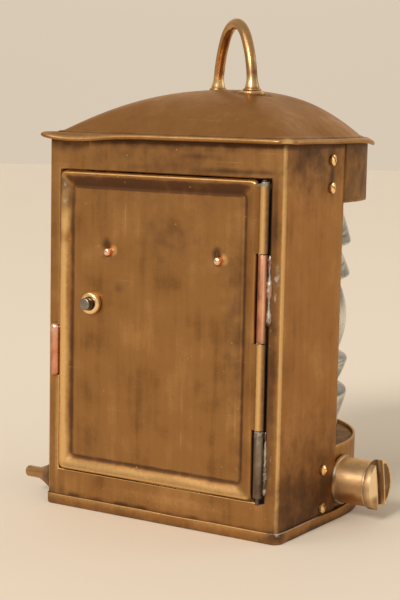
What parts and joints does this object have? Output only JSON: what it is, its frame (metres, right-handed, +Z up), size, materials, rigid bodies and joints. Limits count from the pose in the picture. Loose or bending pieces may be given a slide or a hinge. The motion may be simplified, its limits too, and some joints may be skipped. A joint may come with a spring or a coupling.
{
  "type": "candle lantern",
  "caption": "Small sheet-brass candle lantern with a hinged rear door, a half-round ribbed glass lens, a domed roof and a fixed carrying loop.",
  "frame": {"origin": "on the lens and candle axis, on the plane that the base tray stands on", "axes": "+Z up, +Y towards the lens, -Y towards the door, +X towards the hinge and the side tube"},
  "size_m": [0.1306, 0.104, 0.1829],
  "materials": {
    "aged_brass": "brown-olive patina over sheet brass, satin",
    "bright_brass": "rubbed bright, semi-gloss",
    "copper": "reddish copper tube, semi-gloss",
    "tinned_metal": "tinned grey, dull",
    "dark_steel": "dark steel",
    "lens_glass": "clear pressed glass with a faint green cast",
    "felt": "grey felt",
    "candle_wax": "ivory wax",
    "wick_cotton": "charred cotton"
  },
  "bodies": {
    "case": {"base_tray": "aged_brass", "case_shell": "aged_brass", "lens_base": "aged_brass", "hood_band": "aged_brass", "hood_ledge": "aged_brass", "lens_packing_lower": "felt", "lens_packing_upper": "felt", "lens": "lens_glass", "roof": "aged_brass", "handle": "bright_brass", "handle_rings": "bright_brass", "handle_washers": "bright_brass", "handle_nuts": "bright_brass", "hood_screws": "bright_brass", "base_screws": "bright_brass", "hood_screw_nuts": "bright_brass", "base_screw_nuts": "bright_brass", "side_tube": "bright_brass", "side_stud": "bright_brass", "side_stud_nut": "bright_brass", "hinge_knuckle_lower": "tinned_metal", "hinge_knuckle_upper": "copper", "hinge_pin": "dark_steel", "keeper_tube": "copper", "drip_pan": "aged_brass", "candle_socket": "bright_brass"},
    "door": {"door_panel": "aged_brass", "reflector_plate": "tinned_metal", "reflector_dish": "tinned_metal", "reflector_rivets": "copper"},
    "latch": {"latch_knob": "bright_brass", "latch_spindle": "dark_steel", "latch_tongue": "bright_brass", "latch_nut": "bright_brass"},
    "candle": {"candle": "candle_wax", "wick": "wick_cotton"},
    "plug": {"tube_plug": "bright_brass"}
  },
  "joints": [
    {"name": "door_swing", "type": "hinge", "parent": "case", "child": "door", "pos_m": [0.0425, -0.0492, 0.0708], "axis": [0, 0, 1], "range_deg": [0, 150]},
    {"name": "latch_turn", "type": "hinge", "parent": "door", "child": "latch", "pos_m": [-0.0301, -0.048, 0.0778], "axis": [0, 1, 0], "range_deg": [0, 90]},
    {"name": "candle_lift", "type": "slide", "parent": "case", "child": "candle", "axis": [0, 0, 1], "range_m": [0, 0.04]},
    {"name": "plug_turn", "type": "hinge", "parent": "case", "child": "plug", "pos_m": [0.0626, 0.001, 0.0138], "axis": [1, 0, 0], "range_deg": [0, 90]}
  ]
}
